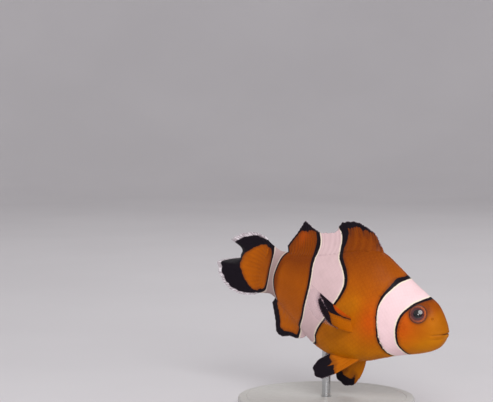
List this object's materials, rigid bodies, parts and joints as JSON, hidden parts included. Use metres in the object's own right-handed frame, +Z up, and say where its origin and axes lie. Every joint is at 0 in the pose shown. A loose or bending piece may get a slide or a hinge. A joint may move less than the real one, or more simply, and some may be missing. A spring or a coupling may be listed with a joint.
{
  "type": "clownfish model",
  "caption": "Life-size still model of an orange clownfish with white, black-edged bands, swimming nose down with its tail bent away, on a rod over a round base.",
  "frame": {"origin": "centre of the stand base's underside", "axes": "+X forward along the fish's head, +Y to its left, +Z up"},
  "size_m": [0.0745, 0.046, 0.0501],
  "materials": {
    "skin_orange": "satin, with fine scales",
    "skin_white": "satin, with fine scales",
    "fin": "satin, thin and rayed",
    "eye": "wet gloss",
    "base_grey": "satin",
    "rod_steel": "brushed"
  },
  "bodies": {
    "root": {"head": "skin_orange", "lower_jaw": "skin_orange", "gill_cover_right": "skin_white", "gill_cover_left": "skin_white", "eye_right": "eye", "eye_left": "eye", "trunk": "skin_orange", "tail_stalk": "skin_orange", "dorsal_fin_spiny": "fin", "dorsal_fin_soft": "fin", "anal_fin": "fin", "caudal_fin": "fin", "pectoral_fin_right": "fin", "pectoral_fin_left": "fin", "pelvic_fin_right": "fin", "pelvic_fin_left": "fin", "stand_base": "base_grey", "stand_rod": "rod_steel"}
  },
  "joints": []
}
